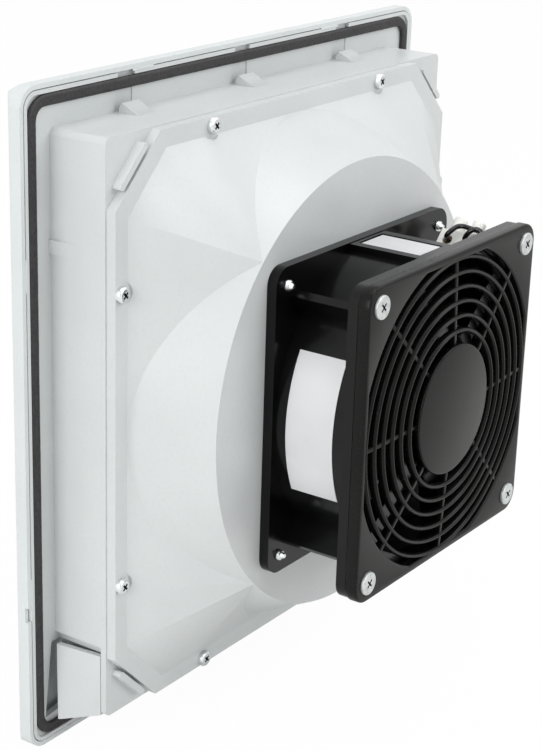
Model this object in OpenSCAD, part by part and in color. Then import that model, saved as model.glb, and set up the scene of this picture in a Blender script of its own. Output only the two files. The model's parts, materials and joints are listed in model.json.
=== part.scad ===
// Enclosure filter fan: panel frame with filter, cover plate and a guarded axial fan.
// X runs across the panel, Z is up, and Y runs from the front through the panel into the cabinet.
// The origin is the centre of the panel cut-out on the flange's sealing plane.

/* [Front cover] */
// How far the front cover reaches past the box on each side
cover_margin = 16; // [15:0.5:19]
// How far the cover stands in front of the sealing plane
cover_front = 7; // [6.5:0.5:10]
// How far the cover's skirt reaches behind the sealing plane
cover_back = 2; // [1.8:0.1:2.6]
// Wall thickness of the cover
cover_wall = 2.2; // [1.8:0.1:2.6]
// Corner radius of the cover seen from the front
cover_corner_r = 8; // [6:0.5:12]
// Bevel round the cover's front edge
cover_bevel = 3.5; // [2:0.5:4]
// How far the air opening stays inside the box on each side
grille_margin = 7; // [6:0.5:20]
// Number of louvres in the air opening
louvre_count = 16; // [12:1:18]

/* [Panel frame] */
// Outer width and height of the box that goes through the cut-out
box_w = 218; // [217:0.5:219]
// Depth of the box behind the sealing plane
box_depth = 24.4; // [24:0.2:30]
// Wall thickness of the box
box_wall = 2.2; // [1.8:0.1:2.6]
// Corner radius of the box
box_corner_r = 2.6; // [2.4:0.2:5]
// Thickness of the flange
flange_t = 2.5; // [2:0.1:2.6]
// Height of the lip round the flange
lip_h = 1.3; // [1:0.1:1.6]
// Width of the sealing bead
gasket_w = 4.4; // [3.5:0.1:4.6]
// Height of the sealing bead above the flange
gasket_h = 1.8; // [1.5:0.1:2.4]
// Width of each panel hook
hook_w = 9.5; // [7:0.5:12]
// Distance between panel hooks
hook_pitch = 69.5; // [50:0.5:75]
// How far the hooks stand out of the box
hook_h = 3.6; // [3:0.1:4]
// Pitch of the bars of the base grid
grid_pitch = 17.8; // [14:0.1:24]
// Thickness of the filter mat
mat_t = 10.2; // [8:0.1:10.4]

/* [Fan cover] */
// How far the cover plate stays inside the box on each side
plate_margin = 0.6; // [0.5:0.1:2]
// Thickness of the cover plate
plate_t = 4; // [3.5:0.1:5]
// Width of the flat border round the raised part
border_w = 6.4; // [6:0.1:7]
// Height of the fan's seat above the sealing plane
seat_y = 57; // [55:0.5:60]
// Wall thickness of the raised part, measured along the depth
shell_t = 2.4; // [2:0.1:3]

/* [Fan] */
// Inner radius of the fan's barrel
bore_r = 56.4; // [56:0.1:57]
// Wall thickness of the barrel
barrel_wall = 1.6; // [1.4:0.1:2]
// How far the fan's flanges reach past the barrel
fan_rim = 1.5; // [1:0.1:2]
// Depth of the fan
fan_depth = 38; // [37.8:0.1:38.4]
// Distance from the fan's edge to its fixing holes
hole_edge = 7.1; // [7:0.1:7.5]
// Thickness of the fan's flanges
fan_flange_t = 4; // [3.5:0.1:4.2]
// Number of blades
blade_count = 7; // [5:1:9]
// Gap between the blades' tips and the barrel
tip_gap = 1; // [0.8:0.1:2]
// Outer radius of the impeller's hub
hub_r = 31.5; // [31:0.1:33]

/* [Finger guard] */
// How far the guard reaches past the fan on each side
guard_margin = 0.5; // [0:0.1:1.5]
// Thickness of the guard's frame
guard_t = 5; // [4:0.5:6]
// Number of rings between disc and frame
ring_count = 6; // [4:1:7]
// Distance from ring to ring
ring_pitch = 5.45; // [5:0.05:5.8]

/* [Terminal block] */
// Wall between the two poles
pole_wall = 3.8; // [3.6:0.1:4.6]
// Length of the block along the wires
block_len = 16; // [15:0.5:18]
// Radius of the wire entries
entry_r = 2; // [1.8:0.1:2.1]

/* [Hidden] */
$fn = 96;

// Overrun of cuts, and the small gaps between pieces
cut = 0.5;
seat_gap = 0.3;
fit_gap = 0.05;
bolt_gap = 0.3;

// Outer sizes that follow from the box and the fan
cover_w = box_w + 2 * cover_margin;
grille_w = box_w - 2 * grille_margin;
plate_w = box_w - 2 * plate_margin;
barrel_r = bore_r + barrel_wall;
fan_w = 2 * (barrel_r + fan_rim);
hole_pitch = fan_w - 2 * hole_edge;
tip_r = bore_r - tip_gap;
guard_w = fan_w + 2 * guard_margin;

// Front cover: seam to the flange, seat rib, snap nubs, pry notches and louvres
seam_gap = 0.4;
cover_inner_w = cover_w - 2 * cover_wall;
cover_seat_w = 2.5;
cover_seat_in = 3;
nub_h = 0.3;
nub_len = 12;
nub_t = 0.5;
nub_from = 65;
nub_x = cover_w / 2 - nub_from;
notch_len = 5.8;
notch_depth = 2.3;
notch_from = 56.8;
louvre_pitch = grille_w / louvre_count;
louvre_t = 2.6;
louvre_rise_share = 0.8;
louvre_front_gap = 0.2;
cover_rib_w = 2;
cover_rib_x = grille_w / 4;
cover_rib_depth = 2.4;
rim_wall = 2;
rim_back_y = -0.8;

// Panel frame: flange, lip, duct, sealing bead and grid
flange_w = cover_inner_w - 2 * seam_gap;
flange_corner_r = cover_corner_r - cover_wall - seam_gap;
lip_t = 1;
duct_w = box_w - 2 * box_wall;
duct_corner_cut = 27.8;
duct_wall = 2;
back_rim_t = 2.2;
back_rim_in = 6.8;
side_rib_from = 41.3;
gasket_gap = 0.1;
gasket_out_w = flange_w - 2 * lip_t - 2 * gasket_gap;
gasket_corner_r = 9;
gasket_crown = 0.6;
grid_t = 3;
grid_bar_w = 2;
mat_front_y = rim_back_y + seat_gap;
grid_y = mat_front_y + mat_t + seat_gap;
mat_side_gap = 0.8;
hook_back_y = 10.5;
hook_ridge_y = 3;
hook_foot_y = 0.8;
channel_depth = 0.4;
side_rib_z = box_w / 2 - side_rib_from;
side_rib_w = 5;
side_rib_h = 1;
side_rib_len = 11.7;
boss_r = 3.4;
boss_in = 0.4;
boss_y = grid_y + boss_in;
bar_len = 19.4;
bar_w = 2.4;
bar_h = 3.8;
bar_gap = 1.2;

// Corner latch: its leaves, their flare and the slot beside them
latch_from = 24.5;
latch_slot = 3.7;
latch_t = 2;
latch_wall_in = 2.4;
latch_wall_y = box_depth - latch_wall_in;
latch_root_gap = 0.4;
latch_root_y = latch_wall_y - latch_root_gap;
latch_end_y = 2.6;
latch_corner_y = 5.3;
latch_end_flare = 2.2;
latch_corner_flare = 5;
latch_open_out = 6;
latch_open_in = 4;

// Fan cover: octagon, pyramid, cone and throat
plate_corner_cut = 23.9;
raised_w = plate_w - 2 * border_w;
raised_corner_cut = 21;
rim_share = 0.498;
rim_r = (raised_w / 2) * rim_share + (hole_pitch / sqrt(2)) * (1 - rim_share);
seat_half_share = 0.7045;
seat_half = rim_r * seat_half_share;
shell_in = 1.2;
throat_gap = 0.6;
pocket_r = 5;
plate_y = box_depth + plate_t;

// Screw sizes: radius, head radius, head height and length
cover_screw = [1.5, 3.15, 2.2, 11];
mount_screw = [2, 3.9, 2.6, 9];
guard_screw = [2, 4.5, 1.6, 12];
block_screw_size = [1.3, 2.6, 1.6];
clamp_screw = [1.4, 1.75, 1.7];
cross_w = 0.9;
cross_share = 1.15;
cross_depth_share = 0.7;
screw_from = 54;
screw_edge = 3;

// Fan frame
fan_y = seat_y;
fan_front = fan_y + fan_depth;
fan_corner_r = 7;
fan_hole_r = mount_screw[0] + fit_gap;
web_t = 3;
web_end = 5.1;
web_r = hole_pitch / sqrt(2) - web_end;
flare = 1.8;
strut_w = 7;
strut_t = 6;
strut_in = 0.5;
base_t = 3;
base_in = 0.5;
base_r = hub_r - base_in;
strut_front = fan_front - strut_in;
strut_y = strut_front - strut_t;
base_y = strut_front - base_t;
tube_r = 8.5;
pad_left = 13;
pad_right = 11;
pad_in = 0.3;
pad_top = fan_w / 2 - pad_in;
pad_sink = 6.4;
pad_foot = bore_r - pad_sink;
pad_recess = 0.5;
pad_label_w = 15;
pad_label_end = 2.5;
pad_label_len = fan_depth - 2 * (fan_flange_t + pad_label_end);
label_t = 0.2;
pad_recess_gap = 0.7;
rating_above = 30;
rating_below = 24.5;
rating_in = 9;
rating_y = fan_y + rating_in;
rating_w = fan_depth - 2 * rating_in;

// Impeller, rotor, shaft and bearings
hub_in = 3.8;
hub_gap = 4.5;
hub_y = fan_y + hub_in;
hub_back = base_y - hub_gap;
tube_in = 8.7;
tube_y = hub_y + tube_in;
hub_wall = 1.5;
hub_end_t = 2;
blade_t = 1.8;
blade_setback = 2.2;
blade_y = hub_y + blade_setback;
blade_end = 1.5;
blade_depth = hub_back - blade_end - blade_y;
blade_camber_r = 34;
blade_angle = 42;
blade_in = 1;
rotor_setback = 5.2;
rotor_y = hub_y + rotor_setback;
rotor_end = 2;
rotor_len = hub_back - rotor_end - rotor_y;
rotor_ring_t = 5.8;
rotor_in_r = hub_r - hub_wall - rotor_ring_t;
cage_bar_r = 1.2;
cage_bar_count = 18;
cage_end_t = 1;
air_gap = 0.35;
shaft_r = 2.5;
bearing_r = 6.5;
bearing_w = 4;
cap_t = 1.2;
bearing_in = 0.6;
bearing_one_y = tube_y + bearing_in;
cap_space = 3.3;
bearing_two_y = strut_front - cap_t - cap_space - bearing_w;
race_t = 1.1;
ball_r = 0.85;
ball_count = 8;
tube_shoulder_r = 5.4;
preload_t = 0.5;
shim_r = 3.6;
clip_r = 4.2;
clip_t = 0.7;
cap_r = 7.5;
shaft_end = 1.6;
shaft_end_y = bearing_two_y + bearing_w + shaft_end;
hub_boss_r = 5.5;

// Stator: core, poles, coils and shading rings
stator_setback = 3;
stator_y = rotor_y + stator_setback;
stator_end = 1;
stator_len = rotor_y + rotor_len - stator_end - stator_y;
stator_r = rotor_in_r - air_gap;
yoke_wall = 3.65;
yoke_r = tube_r + fit_gap + yoke_wall;
neck_w = 7;
shoe_t = 3.55;
shoe_r = stator_r - shoe_t;
shoe_angle = 38;
coil_t = 3;
coil_gap = 0.3;
coil_room = 0.7;
coil_in_r = yoke_r + coil_room;
coil_out = 1.7;
coil_out_r = shoe_r - coil_out;
shade_angle = 26;
shade_w = 6.5;
shade_t = 1.1;
shade_depth = 1.8;

// Finger guard
guard_back = fan_front;
guard_front = guard_back + guard_t;
guard_corner_r = 7.5;
guard_frame_w = 3;
guard_open_w = guard_w - 2 * guard_frame_w;
guard_open_margin = 3;
guard_open_r = barrel_r + guard_open_margin;
guard_rise = 2.3;
guard_ring_w = 2;
last_ring_gap = 3.6;
disc_r = guard_open_r - last_ring_gap + guard_ring_w / 4 - ring_count * ring_pitch;
guard_ring_depth = 3.6;
spoke_w = 1.8;
spoke_depth = 3;
spoke_count = 8;
disc_t = 2.2;

// Terminal block, in the frame of the corner that carries it
block_off = 0.5;
block_y = fan_y + fan_depth / 2 + block_off;
block_stand = 3;
block_foot = barrel_r + block_stand;
block_h = 8.5;
block_top = block_foot + block_h;
block_end_wall = 4.1;
tower_h = 6.7;
tower_top = block_top + tower_h;
tower_r = 2.7;
tower_a = 4.3;
saddle_h = 3.5;
saddle_top = block_top + saddle_h;
entry_h = 4;
entry_height = block_foot + entry_h;
insert_half = 5.9;
insert_w = 4.4;
pole_pitch = insert_w + pole_wall;
insert_floor = 1.4;
insert_h = 5.1;
insert_foot = block_foot + insert_floor;
insert_top = insert_foot + insert_h;
insert_bore_r = 1.6;
cavity_gap = 0.1;
tower_bore_r = 1.9;
block_hole_r = 1.45;
head_sink = 1.5;
head_seat = block_top - head_sink;
head_bore_r = 2.8;
block_boss_r = 3.5;
tip_in = 0.2;
boss_screw_tip = barrel_r - tip_in;
head_rise = 3.9;
clamp_head_foot = insert_top + head_rise;
tip_bite = 0.3;
clamp_tip = entry_height + insert_bore_r - tip_bite;

// Leads: insulated wire along its route, in the same corner frame
lead_r = 1;
lead_sides = 8;
lead_step = 5;
slot_w = 5;
slot_len = 3;
slot_foot_r = 18;
LEAD_ONE = [
    [-1.2, 89.6, 20], [-1.2, 89.6, 38], [-1.2, 89.2, 56], [-1.2, 89.2, 60], [0.5, 89, 63.5],
    [5, 88.4, 67], [8.6, 87.2, 69.4], [9.6, 85.6, 70.2], [10.1, 83.4, 70.2], [10.3, 80.6, 70.4],
    [10.4, 77.4, 70.8], [11, 75.4, 69.6], [11.7, 74.3, 66.8], [11.2, 73.2, 65.2],
    [9.4, 72.5, 65], [8, 72.4, 65], [5.5, 72.4, 65], [3, 72.4, 65]
];
LEAD_TWO = [
    [1.2, 89.6, 20], [1.2, 89.6, 38], [1.2, 89.2, 56], [1.2, 89.2, 60], [4.5, 89.3, 62.8],
    [9.8, 89.1, 66], [12.8, 87.9, 68.4], [13.2, 85.6, 69.2], [13.7, 83.7, 68], [12.8, 82.2, 66.4],
    [11.2, 81.1, 65.2], [9.6, 80.7, 65], [8, 80.7, 65], [5.5, 80.7, 65], [3, 80.7, 65]
];

// An outline drawn in X and Z becomes a sheet from one depth to another
module sheet(from, to) {
    rotate([90, 0, 0]) translate([0, 0, -to]) linear_extrude(to - from) children();
}

// A profile drawn in Y and Z runs along X
module along_x(from, to) {
    translate([from, 0, 0]) rotate([90, 0, 90]) linear_extrude(to - from) children();
}

// A profile drawn in X and Y runs along Z
module along_z(from, to) {
    translate([0, 0, from]) linear_extrude(to - from) children();
}

// A profile of radius and depth turns round the Y axis
module turned() {
    rotate([-90, 0, 0]) rotate_extrude() children();
}

// A round bar along Y
module rod(x, z, from, to, r) {
    translate([x, to, z]) rotate([90, 0, 0]) cylinder(h = to - from, r = r);
}

// A square outline with round corners
module rounded(w, r) {
    square([w, w - 2 * r], center = true);
    square([w - 2 * r, w], center = true);
    for (x = [-1, 1], z = [-1, 1]) {
        translate([x, z] * (w / 2 - r)) circle(r);
    }
}

// A square outline with cut corners
module chamfered(w, c) {
    h = w / 2;
    polygon([
        [h, c - h], [h, h - c], [h - c, h], [c - h, h],
        [-h, h - c], [-h, c - h], [c - h, -h], [h - c, -h]
    ]);
}

// A screw along Y with its head towards +Y: radius, head radius, head height, length
module screw(at, size, under_head, crown) {
    head_top = under_head + size[2];
    translate([at[0], 0, at[1]]) difference() {
        union() {
            turned() polygon([
                [0, under_head - size[3]], [size[0] * crown, under_head - size[3]],
                [size[0], under_head - size[3] + size[0]], [size[0], under_head],
                [size[1], under_head], [size[1], under_head + size[2] * crown],
                [size[1] * crown, head_top], [0, head_top]
            ]);
        }
        cross_cut(head_top, size);
    }
}

// The cross recess of a screw head that faces +Y
module cross_cut(head_top, size) {
    depth = size[2] * cross_depth_share;
    for (a = [0, 90]) {
        rotate([0, a + 45, 0]) translate([-size[1] * cross_share / 2, head_top - depth, -cross_w / 2])
            cube([size[1] * cross_share, depth + cut, cross_w]);
    }
}

// Places of the screws: round the cover plate, and at the fan's corners
cover_screw_edge = plate_w / 2 - screw_edge;
screw_long = box_w / 2 - screw_from;
COVER_SCREW_PLACES = [
    for (s = [-1, 1], t = [-1, 1]) each [
        [s * screw_long, t * cover_screw_edge], [t * cover_screw_edge, s * screw_long]
    ]
];
FAN_SCREW_PLACES = [for (s = [-1, 1], t = [-1, 1]) [s, t] * hole_pitch / 2];

// Front cover
module cover_shell() {
    half = cover_w / 2;
    edge = [
        [0, -cover_front], [half - cover_bevel, -cover_front],
        [half, cover_bevel - cover_front], [half, cover_back], [0, cover_back]
    ];
    intersection() {
        sheet(-cover_front, cover_back) rounded(cover_w, cover_corner_r);
        along_z(-half, half) union() {
            polygon(edge);
            mirror([1, 0]) polygon(edge);
        }
        along_x(-half, half) union() {
            polygon([for (p = edge) [p[1], p[0]]]);
            polygon([for (p = edge) [p[1], -p[0]]]);
        }
    }
}

module louvre(z) {
    rise = louvre_pitch * louvre_rise_share / 2;
    front = louvre_front_gap - cover_front;
    along_x(-grille_w / 2 - rim_wall / 2, grille_w / 2 + rim_wall / 2) polygon([
        [front, z - rise - louvre_t / 2], [front, z - rise + louvre_t / 2],
        [rim_back_y, z + rise + louvre_t / 2], [rim_back_y, z + rise - louvre_t / 2]
    ]);
}

module cover_nubs() {
    for (a = [0, 90, 180, 270], x = [-nub_x, nub_x]) {
        rotate([0, a, 0]) translate([x - nub_len / 2, cover_back - nub_t, cover_inner_w / 2 - nub_h])
            cube([nub_len, nub_t, nub_h + cover_wall / 2]);
    }
}

module pry_notches() {
    for (s = [-1, 1]) {
        translate([s * cover_w / 2 - cover_wall, cover_back - notch_depth, notch_from - cover_w / 2 - notch_len / 2])
            cube([2 * cover_wall, notch_depth + cut, notch_len]);
    }
}

module clear_of_corners() {
    intersection() {
        union() {
            sheet(-cover_front, -flange_t) square(cover_w, center = true);
            sheet(-cover_front, rim_back_y) chamfered(duct_w - 2 * seat_gap, duct_corner_cut);
        }
        union() children();
    }
}

module front_cover() {
    inner_y = cover_wall - cover_front;
    seat_out_w = flange_w - 2 * cover_seat_in;
    color("#dfe3e3") {
        difference() {
            cover_shell();
            sheet(inner_y, cover_back + cut) rounded(cover_inner_w, cover_corner_r - cover_wall);
            sheet(-cover_front - cut, 0) square(grille_w, center = true);
            pry_notches();
        }
        cover_nubs();
        sheet(inner_y, -flange_t) difference() {
            square(seat_out_w, center = true);
            square(seat_out_w - 2 * cover_seat_w, center = true);
        }
        clear_of_corners() {
            sheet(inner_y, rim_back_y) difference() {
                square(grille_w + 2 * rim_wall, center = true);
                square(grille_w, center = true);
            }
            intersection() {
                sheet(-cover_front, rim_back_y) square(grille_w + rim_wall, center = true);
                for (i = [0:louvre_count - 1]) {
                    louvre((i + 0.5) * louvre_pitch - grille_w / 2);
                }
            }
            for (x = [-cover_rib_x, 0, cover_rib_x]) {
                translate([x - cover_rib_w / 2, rim_back_y - cover_rib_depth, -grille_w / 2])
                    cube([cover_rib_w, cover_rib_depth, grille_w]);
            }
        }
    }
}

// Filter mat: a plain pad with cut corners that lies on the base grid
module filter_mat() {
    w = duct_w - 2 * mat_side_gap;
    color("#f2f3f1") sheet(mat_front_y, mat_front_y + mat_t) chamfered(w, duct_corner_cut);
}

// Panel frame
module box_walls() {
    sheet(-flange_t, box_depth) difference() {
        rounded(box_w, box_corner_r);
        rounded(duct_w, box_corner_r - box_wall);
    }
    sheet(-flange_t, box_depth) intersection() {
        rounded(box_w, box_corner_r);
        difference() {
            chamfered(duct_w + box_wall, duct_corner_cut - duct_wall * sqrt(2));
            chamfered(duct_w, duct_corner_cut);
        }
    }
    sheet(box_depth - back_rim_t, box_depth) difference() {
        rounded(box_w, box_corner_r);
        chamfered(duct_w - 2 * back_rim_in, duct_corner_cut);
    }
}

module flange() {
    sheet(-flange_t, 0) difference() {
        rounded(flange_w, flange_corner_r);
        chamfered(duct_w, duct_corner_cut);
    }
    sheet(0, lip_h) difference() {
        rounded(flange_w, flange_corner_r);
        rounded(flange_w - 2 * lip_t, flange_corner_r - lip_t);
    }
}

module base_grid() {
    side = floor(duct_w / 2 / grid_pitch);
    intersection() {
        sheet(grid_y, grid_y + grid_t) chamfered(duct_w + box_wall, duct_corner_cut);
        for (i = [-side:side]) {
            translate([i * grid_pitch - grid_bar_w / 2, grid_y, -box_w / 2])
                cube([grid_bar_w, grid_t, box_w]);
            translate([-box_w / 2, grid_y, i * grid_pitch - grid_bar_w / 2])
                cube([box_w, grid_t, grid_bar_w]);
        }
    }
}

module hook(x) {
    face = box_w / 2;
    along_x(x - hook_w / 2, x + hook_w / 2) polygon([
        [hook_foot_y, face - box_wall / 2], [hook_foot_y, face],
        [hook_ridge_y, face + hook_h], [hook_back_y, face], [hook_back_y, face - box_wall / 2]
    ]);
}

module hook_channel(x) {
    translate([x - hook_w / 2, -channel_depth, box_w / 2])
        cube([hook_w, channel_depth + lip_h + cut, flange_w / 2 - box_w / 2 + cut]);
}

module side_rib(s) {
    face = box_w / 2;
    along_z(side_rib_z - side_rib_w / 2, side_rib_z + side_rib_w / 2) polygon([
        [s * (face - box_wall / 2), 0], [s * (face + side_rib_h), 0],
        [s * face, side_rib_len], [s * (face - box_wall / 2), side_rib_len]
    ]);
}

module corner_bars() {
    middle = (plate_w - plate_corner_cut) / sqrt(2) + bar_gap + bar_w / 2;
    for (a = [45, 135, 225, 315]) {
        rotate([0, a, 0]) translate([middle, 0, 0]) sheet(box_depth - cut, box_depth + bar_h) {
            square([bar_w, bar_len - bar_w], center = true);
            for (z = [-1, 1]) {
                translate([0, z * (bar_len - bar_w) / 2]) circle(bar_w / 2);
            }
        }
    }
}

// The room of one sprung corner: the walls there, the slot, and the L-shaped hole in the flange
module latch_room(s) {
    face = box_w / 2;
    start = face - latch_from - latch_slot;
    far = face + cut;
    inner = face - box_wall - cut;
    sheet(0, latch_wall_y) scale([s, 1]) polygon([
        [start, -far], [far, -far], [far, -start], [inner, -start], [inner, -inner], [start, -inner]
    ]);
    leaf = face - latch_from;
    sheet(-flange_t - cut, cut) scale([s, 1]) polygon([
        [leaf, -face - latch_end_flare], [face + latch_open_out, -face - latch_open_out],
        [face + latch_end_flare, -leaf], [face - latch_open_in, -leaf],
        [face - latch_open_in, latch_open_in - face], [leaf, latch_open_in - face]
    ]);
}

module screw_bosses() {
    for (p = COVER_SCREW_PLACES) {
        rod(p[0], p[1], boss_y, box_depth, boss_r);
    }
}

module base_frame() {
    color("#d3d8d9") difference() {
        union() {
            flange();
            box_walls();
            base_grid();
            screw_bosses();
            for (x = [-hook_pitch, 0, hook_pitch]) {
                hook(x);
            }
            side_rib(1);
            side_rib(-1);
            corner_bars();
        }
        for (x = [-hook_pitch, 0, hook_pitch]) {
            hook_channel(x);
        }
        latch_room(1);
        latch_room(-1);
        for (p = COVER_SCREW_PLACES) {
            rod(p[0], p[1], boss_y + box_wall, box_depth + cut, cover_screw[0] + fit_gap);
        }
    }
}

// Sealing bead with a flat crown
module sealing_gasket() {
    shoulder = gasket_h - gasket_crown;
    inner_w = gasket_out_w - 2 * gasket_w;
    color("#3b393a") {
        sheet(0, shoulder) difference() {
            rounded(gasket_out_w, gasket_corner_r);
            rounded(inner_w, gasket_corner_r - gasket_w);
        }
        sheet(shoulder, gasket_h) difference() {
            rounded(gasket_out_w - 2 * gasket_crown, gasket_corner_r - gasket_crown);
            rounded(inner_w + 2 * gasket_crown, gasket_corner_r - gasket_w + gasket_crown);
        }
    }
}

// One leaf of a sprung corner: a plate that flares from its root to its free edge
module latch_leaf() {
    face = box_w / 2;
    start = face - latch_from;
    corner = face + latch_corner_flare;
    bit = latch_t / 4;
    hull() {
        translate([face - latch_t, latch_root_y - bit, -face]) cube([latch_t, bit, latch_from]);
        translate([face + latch_end_flare - latch_t, latch_end_y, -start - bit])
            cube([latch_t, bit, bit]);
        translate([corner - latch_t, latch_corner_y, -corner]) cube([latch_t, bit, bit]);
    }
}

module latch_pair_of_leaves() {
    latch_leaf();
    rotate([0, 90, 0]) mirror([0, 0, 1]) latch_leaf();
}

module corner_latch_right() {
    color("#d3d8d9") latch_pair_of_leaves();
}

module corner_latch_left() {
    color("#d3d8d9") mirror([1, 0, 0]) latch_pair_of_leaves();
}

// Fan cover: an eight-sided pyramid and a cone that rise from the plate to the fan's seat
module raised_part(side_in, drop, foot_y) {
    base = raised_w / 2 - side_in;
    base_diag = (raised_w - raised_corner_cut) / sqrt(2) - side_in;
    top = seat_half - side_in;
    low = plate_y - drop;
    high = seat_y - drop;
    module prism(base_half, top_half) {
        along_z(-plate_w, plate_w) polygon([
            [-base_half, foot_y], [base_half, foot_y], [base_half, low],
            [top_half, high], [-top_half, high], [-base_half, low]
        ]);
    }
    intersection() {
        prism(base, top);
        rotate([0, 90, 0]) prism(base, top);
        rotate([0, 45, 0]) prism(base_diag, top * sqrt(2));
        rotate([0, -45, 0]) prism(base_diag, top * sqrt(2));
    }
    turned() polygon([
        [0, foot_y], [base, foot_y], [base, low], [rim_r - side_in, high], [0, high]
    ]);
}

module fan_cover() {
    color("#d3d6d6") difference() {
        union() {
            sheet(box_depth, plate_y) chamfered(plate_w, plate_corner_cut);
            raised_part(0, 0, box_depth);
        }
        raised_part(shell_in, shell_t, box_depth - cut);
        rod(0, 0, box_depth, seat_y + cut, bore_r + throat_gap);
        for (p = COVER_SCREW_PLACES) {
            rod(p[0], p[1], box_depth - cut, plate_y + cut, cover_screw[0] + bolt_gap);
            rod(p[0], p[1], plate_y, seat_y, pocket_r);
        }
        for (p = FAN_SCREW_PLACES) {
            rod(p[0], p[1], box_depth, seat_y + cut, mount_screw[0] + bolt_gap);
            rod(p[0], p[1], box_depth, seat_y - shell_t, mount_screw[1] + bolt_gap);
        }
    }
}

module cover_screws() {
    color("#c9cbcc") for (p = COVER_SCREW_PLACES) {
        screw(p, cover_screw, plate_y, 0.5);
    }
}

// Fan frame: flanges, barrel, corner webs, pad, motor base and bearing tube
module fan_flange(from, to) {
    sheet(from, to) difference() {
        rounded(fan_w, fan_corner_r);
        for (p = FAN_SCREW_PLACES) {
            translate(p) circle(fan_hole_r);
        }
    }
}

module corner_webs() {
    from = fan_y + fan_flange_t;
    to = fan_front - fan_flange_t;
    for (a = [45, 135, 225]) {
        rotate([0, a, 0]) translate([-web_t / 2, from, bore_r]) cube([web_t, to - from, web_r - bore_r]);
    }
    lead_side_end = fan_front - fan_flange_t - 2 * slot_len;
    rotate([0, -45, 0]) translate([-web_t / 2, from, bore_r])
        cube([web_t, lead_side_end - from, block_foot - bore_r]);
}

module struts() {
    intersection() {
        for (a = [-45, 45, 135, 225]) {
            rotate([0, a, 0]) translate([-strut_w / 2, strut_y, tube_r])
                cube([strut_w, strut_front - strut_y, barrel_r - tube_r]);
        }
        rod(0, 0, strut_y, strut_front, barrel_r - fit_gap);
    }
}

module lead_channel() {
    rotate([0, -45, 0]) translate([-slot_w / 2, strut_y - cut, slot_foot_r])
        cube([slot_w, slot_len, barrel_r + cut - slot_foot_r]);
}

module wiring_pad() {
    from = fan_y + fan_flange_t - cut;
    to = fan_front - fan_flange_t + cut;
    middle_y = fan_y + fan_depth / 2;
    recess_len = pad_label_len + 2 * pad_recess_gap;
    recess_w = pad_label_w + 2 * pad_recess_gap;
    difference() {
        translate([-pad_right, from, pad_foot]) cube([pad_left + pad_right, to - from, pad_top - pad_foot]);
        translate([
            (pad_left - pad_right - recess_w) / 2, middle_y - recess_len / 2, pad_top - pad_recess
        ]) cube([recess_w, recess_len, pad_recess + cut]);
    }
}

module fan_frame() {
    inner_from = bearing_one_y + bearing_w + preload_t;
    color("#1d1d1f") {
        difference() {
            union() {
                fan_flange(fan_y, fan_y + fan_flange_t);
                fan_flange(fan_front - fan_flange_t, fan_front);
                turned() polygon([
                    [0, fan_y], [barrel_r, fan_y], [barrel_r, fan_front], [0, fan_front]
                ]);
                wiring_pad();
                corner_webs();
                rotate([0, -45, 0]) translate([0, block_y, bore_r])
                    cylinder(h = block_foot - bore_r, r = block_boss_r);
            }
            turned() polygon([
                [0, fan_y - cut], [bore_r + flare, fan_y - cut], [bore_r + flare, fan_y],
                [bore_r, fan_y + fan_flange_t], [bore_r, fan_front - fan_flange_t],
                [bore_r + flare, fan_front], [bore_r + flare, fan_front + cut], [0, fan_front + cut]
            ]);
            lead_channel();
            rotate([0, -45, 0]) translate([0, block_y, boss_screw_tip - fit_gap])
                cylinder(h = block_foot, r = block_screw_size[0] + fit_gap);
        }
        difference() {
            union() {
                struts();
                rod(0, 0, base_y, strut_front, base_r);
                rod(0, 0, tube_y, base_y + cut, tube_r);
            }
            lead_channel();
            rod(0, 0, tube_y - cut, fan_front, tube_shoulder_r);
            rod(0, 0, tube_y - cut, inner_from, bearing_r + fit_gap);
            rod(0, 0, bearing_two_y, fan_front, bearing_r + fit_gap);
            rod(0, 0, strut_front - cap_t, fan_front, cap_r + fit_gap);
        }
    }
}

module fan_mount_screws() {
    color("#c9cbcc") for (p = FAN_SCREW_PLACES) {
        translate([p[0], seat_y - shell_t, p[1]]) rotate([180, 0, 0])
            screw([0, 0], mount_screw, 0, 0.5);
    }
}

// Finger guard: its height follows a low dome from the frame to the centre disc
function dome(r) = guard_front + guard_rise * (guard_open_r - r) / (guard_open_r - disc_r);

module guard_ring(r) {
    top = dome(r);
    half = guard_ring_w / 2;
    turned() polygon([
        [r - half, top - guard_ring_depth], [r + half, top - guard_ring_depth],
        [r + half, top - half / 2], [r + half / 2, top], [r - half / 2, top], [r - half, top - half / 2]
    ]);
}

module guard_spokes() {
    in_r = disc_r - guard_ring_w;
    out_r = guard_open_r + guard_ring_w;
    in_top = dome(disc_r) - disc_t / 2;
    out_top = guard_front - disc_t / 4;
    intersection() {
        sheet(guard_back, dome(0)) square(guard_open_w + guard_ring_w, center = true);
        for (i = [0:spoke_count - 1]) {
            rotate([0, i * 360 / spoke_count, 0]) along_z(-spoke_w / 2, spoke_w / 2) polygon([
                [in_r, in_top - spoke_depth], [out_r, out_top - spoke_depth],
                [out_r, out_top], [in_r, in_top]
            ]);
        }
    }
}

module finger_guard() {
    disc_top = dome(disc_r);
    color("#2b2a2a") {
        difference() {
            sheet(guard_back, guard_front) difference() {
                rounded(guard_w, guard_corner_r);
                intersection() {
                    circle(guard_open_r);
                    square(guard_open_w, center = true);
                }
            }
            for (p = FAN_SCREW_PLACES) {
                rod(p[0], p[1], guard_back - cut, guard_front + cut, guard_screw[0] + bolt_gap);
            }
        }
        for (i = [1:ring_count]) {
            guard_ring(disc_r - guard_ring_w / 4 + i * ring_pitch);
        }
        guard_spokes();
        rod(0, 0, disc_top - disc_t, disc_top, disc_r);
    }
}

module guard_screws() {
    color("#d0d2d3") for (p = FAN_SCREW_PLACES) {
        screw(p, guard_screw, guard_front, 0.5);
    }
}

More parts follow.
